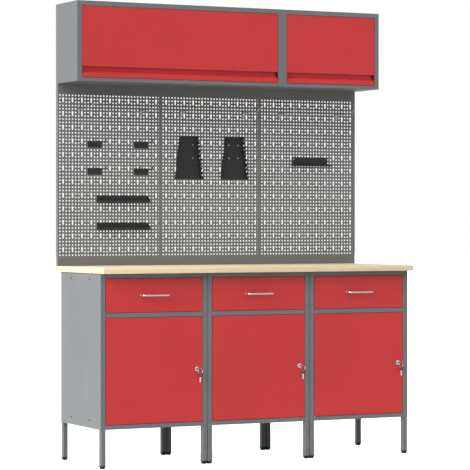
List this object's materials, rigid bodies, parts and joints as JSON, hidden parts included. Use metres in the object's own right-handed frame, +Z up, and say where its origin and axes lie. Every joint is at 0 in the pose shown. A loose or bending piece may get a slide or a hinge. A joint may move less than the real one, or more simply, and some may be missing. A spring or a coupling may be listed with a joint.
{
  "type": "workbench with drawers",
  "caption": "Steel workbench: cabinets with drawers and locking doors under a wooden worktop, perforated tool panels above it, and wall cabinets with flap doors on top.",
  "frame": {"origin": "on the floor below the middle of the assembly's box", "axes": "+X to the right seen from the front, +Y towards the wall behind, +Z up"},
  "size_m": [1.74, 0.625, 2.3],
  "materials": {
    "red_paint": "satin powder coat",
    "grey_paint": "satin powder coat",
    "light_grey_paint": "satin powder coat",
    "panel_grey_paint": "satin powder coat",
    "black_paint": "matt powder coat",
    "beech": "oiled satin",
    "chrome": "polished",
    "zinc": "zinc plated",
    "black_plastic": "moulded"
  },
  "bodies": {
    "bench": {"worktop": "beech", "cabinet_frame_left": "grey_paint", "cabinet_frame_middle": "grey_paint", "cabinet_frame_right": "grey_paint", "side_panels": "light_grey_paint", "cabinet_liners": "light_grey_paint", "cabinet_shelves": "light_grey_paint", "drawer_channels": "zinc", "feet": "black_plastic", "worktop_screws": "zinc", "door_hinge_pins": "zinc", "side_panel_screws": "black_paint", "perforated_panel_left": "panel_grey_paint", "perforated_panel_middle": "panel_grey_paint", "perforated_panel_right": "panel_grey_paint", "panel_screws": "zinc", "cabinet_bolts": "zinc", "cabinet_nuts": "zinc", "wire_hooks": "zinc", "tool_clips": "black_paint", "tool_rails": "black_paint", "spanner_rack_left": "black_paint", "spanner_rack_right": "black_paint", "screwdriver_holder": "black_paint", "wall_cabinet_wide": "grey_paint", "wall_cabinet_narrow": "grey_paint", "flap_hinge_pins": "zinc"},
    "drawer_left": {"drawer_box_left": "light_grey_paint", "drawer_front_left": "red_paint", "drawer_handle_left": "chrome", "handle_screws_left": "zinc"},
    "door_left": {"door_left": "red_paint", "lock_case_left": "chrome"},
    "lock_left": {"lock_plug_left": "chrome", "lock_cam_left": "zinc", "lock_key_left": "black_plastic"},
    "spare_key_left": {"spare_key_left": "black_plastic"},
    "drawer_middle": {"drawer_box_middle": "light_grey_paint", "drawer_front_middle": "red_paint", "drawer_handle_middle": "chrome", "handle_screws_middle": "zinc"},
    "door_middle": {"door_middle": "red_paint", "lock_case_middle": "chrome"},
    "lock_middle": {"lock_plug_middle": "chrome", "lock_cam_middle": "zinc", "lock_key_middle": "black_plastic"},
    "spare_key_middle": {"spare_key_middle": "black_plastic"},
    "drawer_right": {"drawer_box_right": "light_grey_paint", "drawer_front_right": "red_paint", "drawer_handle_right": "chrome", "handle_screws_right": "zinc"},
    "door_right": {"door_right": "red_paint", "lock_case_right": "chrome"},
    "lock_right": {"lock_plug_right": "chrome", "lock_cam_right": "zinc", "lock_key_right": "black_plastic"},
    "spare_key_right": {"spare_key_right": "black_plastic"},
    "flap_wide": {"flap_wide": "red_paint"},
    "flap_narrow": {"flap_narrow": "red_paint"}
  },
  "joints": [
    {"name": "drawer_slide_left", "type": "slide", "parent": "bench", "child": "drawer_left", "axis": [0, -1, 0], "range_m": [0, 0.36]},
    {"name": "door_hinge_left", "type": "hinge", "parent": "bench", "child": "door_left", "pos_m": [-0.831, -0.258, 0.4725], "axis": [0, 0, -1], "range_deg": [0, 100]},
    {"name": "lock_turn_left", "type": "hinge", "parent": "door_left", "child": "lock_left", "pos_m": [-0.345, -0.2625, 0.472], "axis": [0, 1, 0], "range_deg": [0, 90]},
    {"name": "spare_key_swing_left", "type": "hinge", "parent": "door_left", "child": "spare_key_left", "pos_m": [-0.345, -0.2855, 0.472], "axis": [-1, 0, 0], "range_deg": [-10, 45]},
    {"name": "drawer_slide_middle", "type": "slide", "parent": "bench", "child": "drawer_middle", "axis": [0, -1, 0], "range_m": [0, 0.36]},
    {"name": "door_hinge_middle", "type": "hinge", "parent": "bench", "child": "door_middle", "pos_m": [-0.255, -0.258, 0.4725], "axis": [0, 0, -1], "range_deg": [0, 100]},
    {"name": "lock_turn_middle", "type": "hinge", "parent": "door_middle", "child": "lock_middle", "pos_m": [0.231, -0.2625, 0.472], "axis": [0, 1, 0], "range_deg": [0, 90]},
    {"name": "spare_key_swing_middle", "type": "hinge", "parent": "door_middle", "child": "spare_key_middle", "pos_m": [0.231, -0.2855, 0.472], "axis": [-1, 0, 0], "range_deg": [-10, 45]},
    {"name": "drawer_slide_right", "type": "slide", "parent": "bench", "child": "drawer_right", "axis": [0, -1, 0], "range_m": [0, 0.36]},
    {"name": "door_hinge_right", "type": "hinge", "parent": "bench", "child": "door_right", "pos_m": [0.321, -0.258, 0.4725], "axis": [0, 0, -1], "range_deg": [0, 100]},
    {"name": "lock_turn_right", "type": "hinge", "parent": "door_right", "child": "lock_right", "pos_m": [0.807, -0.2625, 0.472], "axis": [0, 1, 0], "range_deg": [0, 90]},
    {"name": "spare_key_swing_right", "type": "hinge", "parent": "door_right", "child": "spare_key_right", "pos_m": [0.807, -0.2855, 0.472], "axis": [-1, 0, 0], "range_deg": [-10, 45]},
    {"name": "flap_hinge_wide", "type": "hinge", "parent": "bench", "child": "flap_wide", "pos_m": [-0.2875, 0.037, 2.2695], "axis": [-1, 0, 0], "range_deg": [0, 90]},
    {"name": "flap_hinge_narrow", "type": "hinge", "parent": "bench", "child": "flap_narrow", "pos_m": [0.575, 0.037, 2.2695], "axis": [-1, 0, 0], "range_deg": [0, 90]}
  ]
}
